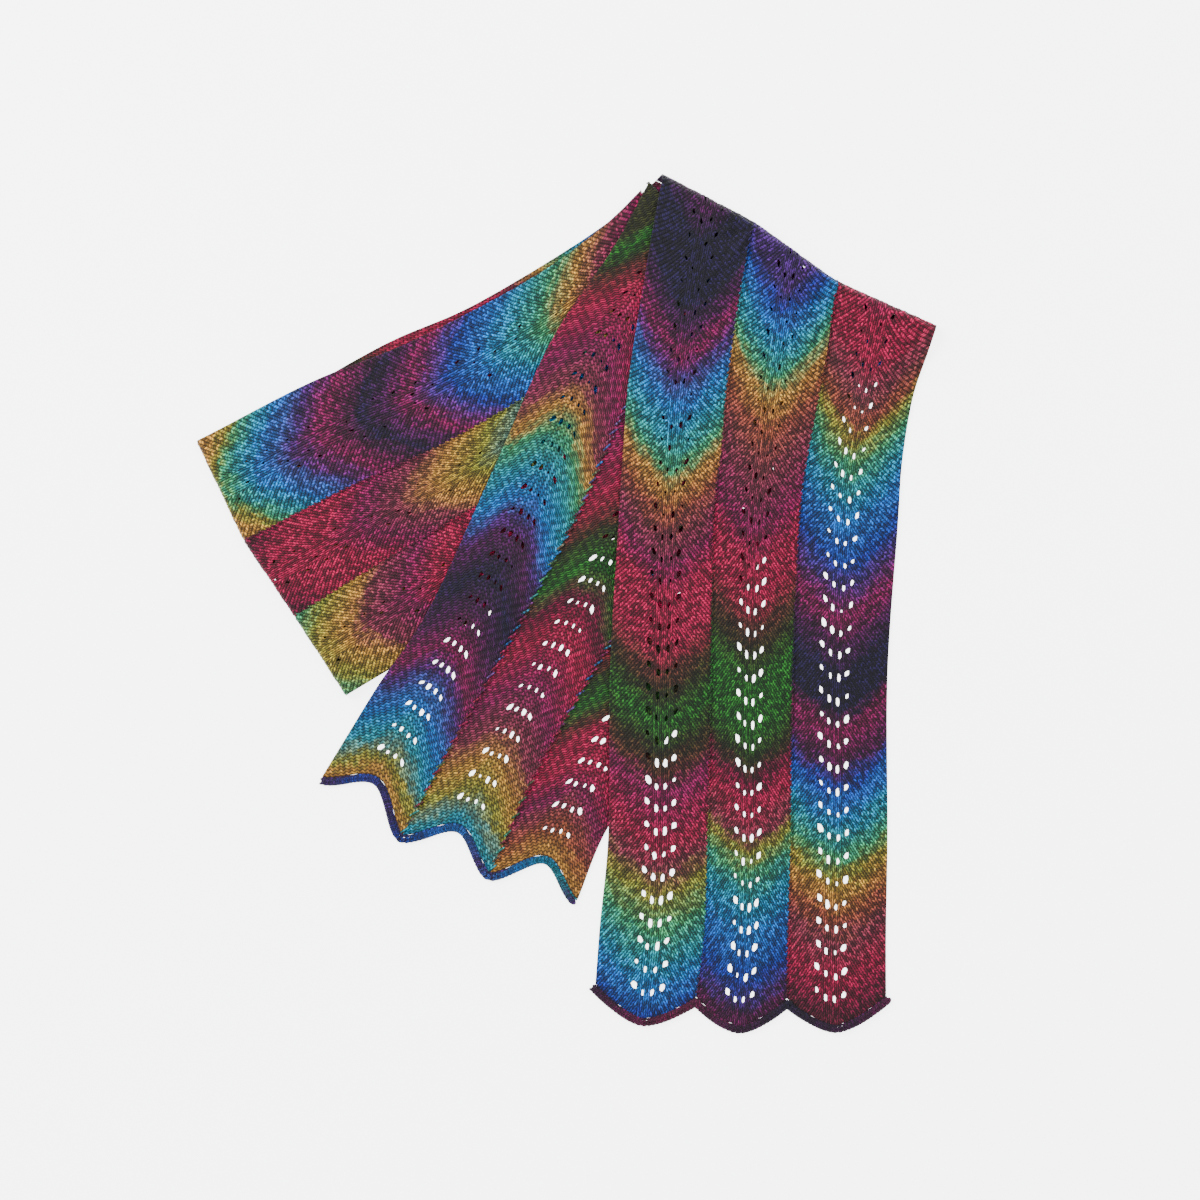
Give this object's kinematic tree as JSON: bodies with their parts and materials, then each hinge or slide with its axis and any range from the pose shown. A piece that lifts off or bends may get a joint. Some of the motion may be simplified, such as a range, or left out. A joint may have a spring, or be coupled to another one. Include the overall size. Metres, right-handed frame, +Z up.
{
  "type": "knitted scarf",
  "caption": "Long narrow scarf of wave-patterned lace strips sewn side by side, with scalloped bound ends, lying flat in folded limbs.",
  "frame": {"origin": "centre of the bounding box, on the surface that the scarf lies on", "axes": "+Z up from the surface, +Y from the hems towards the folds, +X to the right as the laid scarf is seen from above"},
  "size_m": [0.5056, 0.5874, 0.0127],
  "materials": {
    "knit": "soft matt self-striping yarn, crimson, purple, blue, teal, green and gold in turn",
    "edging": "soft matt yarn in a crocheted chain, purple and blue"
  },
  "bodies": {
    "root": {"under_limb": "knit", "side_strip_upper": "knit", "side_strip_middle": "knit", "side_strip_lower": "knit", "back_strip_left": "knit", "back_strip_middle": "knit", "back_strip_right": "knit", "front_strip_left": "knit", "front_strip_middle": "knit", "front_strip_right": "knit", "front_hem_edging": "edging", "back_hem_edging": "edging"}
  },
  "joints": []
}
